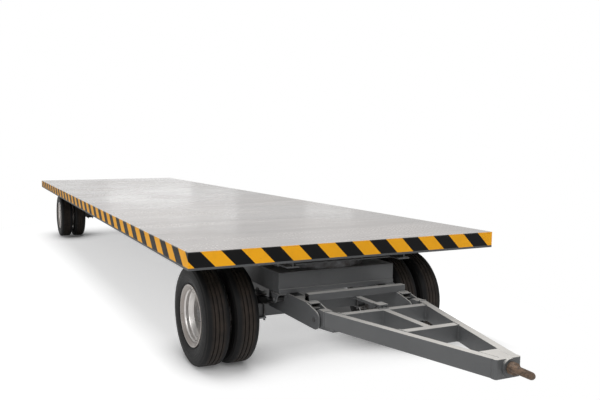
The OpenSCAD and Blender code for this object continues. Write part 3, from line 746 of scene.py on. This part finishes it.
def tyre_profile(wheel, outer, rim, half):
    """Closed section of one tyre as (radius, y, tread) points: beads, sidewalls, grooved tread."""
    wall = outer - rim
    bead = half - 13 * MM
    # From the bead's toe over the widest place to the shoulder
    side = smooth_through([
        (rim - 21.5 * MM, bead - 24 * MM), (rim + 1 * MM, bead - 11 * MM),
        (rim + 0.1 * wall, bead - 1 * MM), (rim + 0.28 * wall, half - 5 * MM),
        (rim + 0.46 * wall, half), (rim + 0.7 * wall, half - 4 * MM),
        (rim + 0.85 * wall, half - 11 * MM), (rim + 0.95 * wall, half - 22 * MM),
        (outer - 1 * MM, wheel.tread_half),
    ], 4)
    # Two moulded ridges, one near the rim and one near the shoulder
    ridges = (rim + 0.19 * wall, rim + 0.78 * wall)
    ridge_half, ridge_height = 3 * MM, 1.4 * MM
    side = [
        (r, y + (ridge_height if any(abs(r - ridge) < ridge_half for ridge in ridges) else 0.0), 0.0)
        for r, y in side
    ]
    rib = 2 * wheel.tread_half / wheel.ribs
    tread = []
    for i in range(1, wheel.ribs):
        y = wheel.tread_half - i * rib
        g = wheel.groove / 2
        floor = outer - wheel.groove_depth
        tread += [(outer, y + g + 2 * MM, 1.0), (outer - 1 * MM, y + g, 1.0), (floor, y + 0.6 * g, 0.0),
                  (floor, y - 0.6 * g, 0.0), (outer - 1 * MM, y - g, 1.0), (outer, y - g - 2 * MM, 1.0)]
    far = [(r, -y, t) for r, y, t in reversed(side)]
    return side + tread + far


class TRAILER_OT_finish_deck(bpy.types.Operator):
    """Finishes the deck sheets and the striped rails"""

    bl_idname = "trailer.finish_deck"
    bl_label = "Finish Deck"

    # Rounding of each node's edges, in millimetres
    edges = {"deck_plates": 1.0, "side_rails": 2.0, "end_rails": 2.0}

    def execute(self, context):
        for node, radius in self.edges.items():
            soften(node, radius * MM)
        return {"FINISHED"}


class TRAILER_OT_paint_frame(bpy.types.Operator):
    """Paints the chassis, the bogie and the drawbar"""

    bl_idname = "trailer.paint_frame"
    bl_label = "Paint Frame"

    # Shares of the edge radius that fit on thin plates
    thin = {
        "drawbar_ears": 0.5, "stub_tubes": 0.5, "cross_members": 0.5, "outriggers": 0.5, "front_hangers": 0.4,
        "rear_hangers": 0.4, "rest_bracket": 0.4, "bogie_top_plate": 0.5, "turntable_mount": 0.6,
    }

    def execute(self, context):
        radius = context.scene.trailer_paint.round_edge
        for part in frame["record"]["subparts"]:
            node = part["node"]
            if part["material_slot"] == "frame_paint":
                soften(node, radius * self.thin.get(node, 1.0))
        return {"FINISHED"}


class TRAILER_OT_finish_metal(bpy.types.Operator):
    """Finishes the bare steel, the springs, the rims and the towing eye"""

    bl_idname = "trailer.finish_metal"
    bl_label = "Finish Metal"

    def execute(self, context):
        slots = {"bare_steel", "spring_black", "rim_silver", "rusty_eye"}
        repaint(p["node"] for p in frame["record"]["subparts"] if p["material_slot"] in slots)
        return {"FINISHED"}


class TRAILER_OT_fit_tyres(bpy.types.Operator):
    """Makes the ribbed tyres, one piece for each twin set"""

    bl_idname = "trailer.fit_tyres"
    bl_label = "Fit Tyres"

    segments = 128

    def execute(self, context):
        wheel = context.scene.trailer_wheel
        for key, body in WHEEL_SETS.items():
            low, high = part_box("tyres_" + key)
            rim_low, rim_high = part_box("rim_outer_" + key)
            outer = (high.z - low.z) / 2
            rim = (rim_high.z - rim_low.z) / 2
            half = (high.y - low.y - wheel.twin_gap) / 4
            profile = tyre_profile(wheel, outer, rim, half)
            middle = (low + high) / 2
            work = bmesh.new()
            tread = work.verts.layers.float.new("tread")
            wall = work.verts.layers.float.new("wall")
            for shift in (-1, 1):
                centre = middle + Vector((0, shift * (half + wheel.twin_gap / 2), 0))
                for ring in lathe(work, [p[:2] for p in profile], centre, self.segments):
                    for vertex, point in zip(ring, profile):
                        vertex[tread] = point[2]
                        vertex[wall] = (point[0] - rim) / (outer - rim)
            bmesh.ops.recalc_face_normals(work, faces=work.faces)
            mesh = mesh_from(work, "tyres_" + key + "_ribbed")
            smooth(mesh, 35)
            piece = new_object(mesh.name, mesh)
            dress(piece, body, finish("tyre_rubber"))
            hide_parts("tyres_" + key)
        return {"FINISHED"}


class TRAILER_OT_form_rim_wells(bpy.types.Operator):
    """Forms the stepped wells inside the outer rims"""

    bl_idname = "trailer.form_rim_wells"
    bl_label = "Form Rim Wells"

    segments = 96
    # Depth from the rim's face and radius, in millimetres, from the lip in to the disc
    steps = ((16, 201.5), (24, 199), (32, 193), (54, 192), (62, 186), (86, 178), (92, 175), (122, 175),
             (128, 180), (150, 182), (158, 201.5))

    def execute(self, context):
        for key, body in WHEEL_SETS.items():
            side = 1 if key.endswith("l") else -1
            low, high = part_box("rim_outer_" + key)
            middle = (low + high) / 2
            face = high.y if side > 0 else low.y
            centre = Vector((middle.x, face, middle.z))
            profile = [(radius * MM, -side * depth * MM) for depth, radius in self.steps]
            work = bmesh.new()
            lathe(work, profile, centre, self.segments)
            bmesh.ops.recalc_face_normals(work, faces=work.faces)
            mesh = mesh_from(work, "rim_well_" + key)
            smooth(mesh, 20)
            dress(new_object(mesh.name, mesh), body, finish("rim_silver"))
        return {"FINISHED"}


class TRAILER_OT_fit_wheel_nuts(bpy.types.Operator):
    """Sets a ring of nuts on each outer wheel disc, and bolts round each hub cap"""

    bl_idname = "trailer.fit_wheel_nuts"
    bl_label = "Fit Wheel Nuts"

    # Thickness of the wheel disc, height of its nuts, and the small bolts on a hub cap
    disc, nut_height = 12 * MM, 20 * MM
    cap_bolts = {"Count": 6, "Ring": 44 * MM, "Nut": 6 * MM, "Height": 5 * MM}

    def execute(self, context):
        wheel = context.scene.trailer_wheel
        wheel_nuts = {
            "Count": wheel.nuts, "Ring": wheel.nut_circle, "Nut": wheel.nut_size, "Height": self.nut_height,
        }
        tree = tree_once("nut_ring", nut_ring_tree, "fastener")
        for key, body in WHEEL_SETS.items():
            side = 1 if key.endswith("l") else -1
            low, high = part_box("rim_outer_" + key)
            hub_low, hub_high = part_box("hub_" + key)
            middle = (low + high) / 2
            face = (low.y if side > 0 else high.y) + side * self.disc
            cap = hub_high.y if side > 0 else hub_low.y
            # The Z axis of the ring turns outwards along Y
            turn = Matrix.Rotation(math.radians(-90 * side), 4, "X")
            for name, y, sizes in (("wheel_nuts_", face, wheel_nuts), ("hub_bolts_", cap, self.cap_bolts)):
                place = Matrix.Translation((middle.x, y, middle.z)) @ turn
                nuts_at(name + key, [place], tree, sizes, body)
        return {"FINISHED"}


class TRAILER_OT_fit_bolts(bpy.types.Operator):
    """Sets nuts on the bolts of the axle clamps"""

    bl_idname = "trailer.fit_bolts"
    bl_label = "Fit Bolts"

    # How much closer together the bolts stand than the clamps reach, and how far the nuts sink into them
    inset_along, inset_across, sunk = 26 * MM, 22 * MM, 8 * MM
    nut, height = 14 * MM, 13 * MM

    def execute(self, context):
        grid = tree_once("nut_grid", nut_grid_tree, "fastener")
        for end, body in (("front", "bogie"), ("rear", "chassis")):
            low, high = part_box(end + "_clamps")
            middle = (low + high) / 2
            points = frame["nodes"][end + "_clamps"].data.vertices
            near = min(abs(v.co.y) for v in points)
            spring_y = (near + high.y) / 2
            sizes = {
                "Columns": 2, "Rows": 2, "Length": high.x - low.x - self.inset_along,
                "Width": high.y - near - self.inset_across, "Nut": self.nut, "Height": self.height,
            }
            places = [
                Matrix.Translation((middle.x, side * spring_y, high.z - self.sunk)) for side in (-1, 1)
            ]
            nuts_at(end + "_clamp_nuts", places, grid, sizes, body)
        return {"FINISHED"}


class TRAILER_OT_weld_drawbar(bpy.types.Operator):
    """Lays weld beads where the drawbar's and the bogie's members meet"""

    bl_idname = "trailer.weld_drawbar"
    bl_label = "Weld Drawbar"

    # Half width that holds the middle bar, width of a side member, and gap at a bead's ends
    middle_half, member, gap = 60 * MM, 52 * MM, 2 * MM

    def execute(self, context):
        low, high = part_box("drawbar_bars")
        ends = sorted({
            (round(v.co.x, 5), round(v.co.y, 5))
            for v in frame["nodes"]["drawbar_bars"].data.vertices
            if abs(v.co.z - high.z) < MM and abs(v.co.y) > self.middle_half
        })
        paths = []
        for side in (-1, 1):
            corners = [p for p in ends if p[1] * side > 0]
            for first, last in zip(corners[::2], corners[1::2]):
                paths.append([(*first, low.z), (*first, high.z), (*last, high.z), (*last, low.z)])
        side_low, side_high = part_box("drawbar_sides")
        for side in (-1, 1):
            paths.append([
                (side_low.x, side * side_high.y, side_low.z),
                (side_low.x, side * side_high.y, side_high.z),
                (side_low.x, side * (side_high.y - self.member), side_high.z),
            ])
        rest_low, rest_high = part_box("rest_bracket")
        paths.append([(rest_high.x, y, rest_low.z) for y in (rest_low.y, rest_high.y)])
        beads("drawbar_welds", paths, "drawbar")
        tube_low, tube_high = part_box("cross_tube")
        stub_inner = min(abs(v.co.y) for v in frame["nodes"]["stub_tubes"].data.vertices)
        reach = (stub_inner + self.gap, tube_high.y - self.gap)
        paths = []
        for side in (-1, 1):
            for x in (tube_low.x, tube_high.x):
                paths.append([(x, side * y, tube_low.z) for y in reach])
        beads("hinge_welds", paths, "bogie")
        return {"FINISHED"}


class TRAILER_OT_set_stage(bpy.types.Operator):
    """Makes the floor, the studio light and the camera"""

    bl_idname = "trailer.set_stage"
    bl_label = "Set Stage"

    # Half the floor's width in metres, and the camera's sensor in millimetres
    floor_half, sensor = 60.0, 36.0
    # Strength of the white surroundings in reflections, and as light
    mirrored_white, ambient = 0.76, 0.32

    def execute(self, context):
        stage = context.scene.trailer_stage
        self.floor(stage)
        self.light(context.scene)
        self.camera(context.scene, stage)
        context.scene.view_settings.view_transform = "Standard"
        return {"FINISHED"}

    def floor(self, stage):
        """Matt white paper; to the camera and in reflections it is lifted to white, and keeps the shadow,
        with painted shadow close to the tyres and under the far half of the deck.
        """
        work = bmesh.new()
        bmesh.ops.create_grid(work, x_segments=1, y_segments=1, size=self.floor_half)
        mesh = mesh_from(work, "floor")
        material, put, place = surface("studio_paper")
        paper = put("BsdfDiffuse", [stage.floor])
        path = put("LightPath").outputs
        seen = path["Is Camera Ray"]
        for ray in ("Is Glossy Ray", "Is Transmission Ray"):
            seen = put("Math", [seen, path[ray]], operation="MAXIMUM")
        x, y = put("SeparateXYZ", [place]).outputs[:2]
        # Close to the tyres, at any pose, the lift is left out, which paints a contact shadow from ambient
        # occlusion
        open_sky = put("AmbientOcclusion", {"Distance": 0.45}, samples=12).outputs["AO"]
        share = put("MapRange", [open_sky, 0.4, 0.95, 0.0, 0.5])
        lift = put("Math", [seen, share], operation="MULTIPLY")
        glow = put("Emission", {"Color": (1, 1, 1, 1), "Strength": lift})
        lit = put("AddShader", [paper, glow])
        # Painted shadow: dark paper under the far half of the deck, deepest there; its edge bends away ahead
        # of the middle
        ahead = put("Math", [x, 0.0], operation="MAXIMUM")
        bent = put("Math", [ahead, -0.25, y], operation="MULTIPLY_ADD")
        inner = put("MapRange", [bent, 0.08, 0.22, 0.0, 0.9])
        outer = put("MapRange", [y, 1.7, 1.45, 0.0, 1.0])
        painted_shadow_strip = put("Math", [inner, outer], operation="MULTIPLY")
        shaded = put("Math", [painted_shadow_strip, seen], operation="MULTIPLY")
        painted_shadow_paper = put("BsdfDiffuse", [linear("#2a2827")])
        near = put("MixShader", [shaded, lit, painted_shadow_paper])
        # Away from the deck the paper fades to plain white
        white = put("Emission", {"Color": (1, 1, 1, 1), "Strength": 1.0})
        spread = put("Mapping", {
            "Vector": place, "Location": (0.126, 0.0, 0.0), "Scale": (0.17, 0.3, 1.0),
        })
        fade = put("TexGradient", [spread], gradient_type="SPHERICAL").outputs["Fac"]
        around = put("MapRange", [fade, 0.38, 0.0, 0.0, 1.0])
        front = put("MapRange", [x, DECK_HIGH.x - 0.75, DECK_HIGH.x, 0.0, 1.0])
        # Near the tyres less white is laid on, so the painted contact shadow stays
        clear_of = put("MapRange", [open_sky, 0.5, 0.95, 0.2, 1.0])
        before = put("Math", [front, clear_of], operation="MULTIPLY")
        away = put("Math", [around, before], operation="MAXIMUM")
        far = put("Math", [away, seen], operation="MULTIPLY")
        above = put("MixShader", [far, near, white])
        # Seen from below, the paper is clear
        below = put("NewGeometry").outputs["Backfacing"]
        clear = put("BsdfTransparent")
        shown = put("MixShader", [below, above, clear])
        put("OutputMaterial", [shown])
        mesh.materials.append(material)
        new_object("floor", mesh)

    def light(self, scene):
        """White surroundings, broad soft panels, and weak panels far behind that the deck mirrors."""
        world = bpy.data.worlds.new("studio")
        scene.world = world
        world.use_nodes = True
        tree = world.node_tree
        tree.nodes.clear()
        path = add(tree, "LightPath").outputs
        seen = add(tree, "Math", [path["Is Camera Ray"], path["Is Transmission Ray"]], operation="MAXIMUM")
        mirrored = add(tree, "Math", [path["Is Glossy Ray"], self.mirrored_white], operation="MULTIPLY")
        shown = add(tree, "Math", [seen, mirrored], operation="MAXIMUM")
        strength = add(tree, "Math", [shown, self.ambient], operation="MAXIMUM")
        around = add(tree, "Background", {"Color": (1, 1, 1, 1), "Strength": strength})
        add(tree, "OutputWorld", [around])
        # Place, aim, width and height in metres, and power in watts
        panels = {
            "overhead": ((0.5, 0.0, 7.0), (0.5, 0.0, 0.0), (13.0, 7.0), 560.0),
            "near_side": ((5.0, -8.0, 4.0), (1.5, 0.0, 0.5), (6.0, 4.0), 180.0),
            "front_fill": ((8.8, -1.0, 4.8), (4.0, 0.0, 0.5), (4.0, 3.0), 135.0),
            "far_window": ((-14.0, 2.3, 2.0), (0.0, 1.0, 0.9), (5.2, 1.0), 8.0),
            "far_door": ((-14.0, 4.3, 2.95), (0.0, 1.0, 0.9), (4.6, 0.5), 9.0),
            "far_corner": ((-14.0, 10.8, 2.85), (0.0, 1.0, 0.9), (1.85, 0.4), 3.0),
        }
        for name, (place, aim, size, power) in panels.items():
            lamp = bpy.data.lights.new(name, "AREA")
            lamp.shape = "RECTANGLE"
            lamp.size, lamp.size_y = size
            lamp.energy = power
            panel = new_object(name, lamp)
            panel.location = place
            panel.rotation_euler = (Vector(aim) - Vector(place)).to_track_quat("-Z", "Y").to_euler()
            panel.visible_camera = False

    def camera(self, scene, stage):
        """The photograph's view; the picture's middle lies right of the lens axis."""
        data = bpy.data.cameras.new("camera")
        data.sensor_width = self.sensor
        data.lens = stage.lens
        data.shift_x = stage.shift
        data.clip_end = 200.0
        camera = new_object("camera", data)
        camera.location = stage.eye
        look = Vector((
            -math.cos(stage.yaw) * math.cos(stage.pitch),
            math.sin(stage.yaw) * math.cos(stage.pitch),
            -math.sin(stage.pitch),
        ))
        camera.rotation_euler = look.to_track_quat("-Z", "Y").to_euler()
        scene.camera = camera


OPERATORS = (
    TRAILER_OT_set_stage,
    TRAILER_OT_finish_deck,
    TRAILER_OT_paint_frame,
    TRAILER_OT_finish_metal,
    TRAILER_OT_fit_tyres,
    TRAILER_OT_form_rim_wells,
    TRAILER_OT_fit_wheel_nuts,
    TRAILER_OT_fit_bolts,
    TRAILER_OT_weld_drawbar,
)
SETTINGS = {
    "trailer_deck": DeckSettings,
    "trailer_paint": PaintSettings,
    "trailer_wheel": WheelSettings,
    "trailer_stage": StageSettings,
}


class TRAILER_PT_panel(bpy.types.Panel):
    """Lists the trailer's operators"""

    bl_label = "Flatbed Trailer"
    bl_space_type = "VIEW_3D"
    bl_region_type = "UI"
    bl_category = "Trailer"

    def draw(self, context):
        for operator in OPERATORS:
            self.layout.operator(operator.bl_idname)


def register():
    for kind in (*SETTINGS.values(), *OPERATORS, TRAILER_PT_panel):
        bpy.utils.register_class(kind)
    for name, kind in SETTINGS.items():
        setattr(bpy.types.Scene, name, PointerProperty(type=kind))


def unregister():
    for name in SETTINGS:
        delattr(bpy.types.Scene, name)
    for kind in (TRAILER_PT_panel, *reversed(OPERATORS), *SETTINGS.values()):
        bpy.utils.unregister_class(kind)


def main():
    """Builds the stage and every piece."""
    register()
    for operator in OPERATORS:
        group, name = operator.bl_idname.split(".")
        getattr(getattr(bpy.ops, group), name)()


if __name__ == "__main__":
    main()
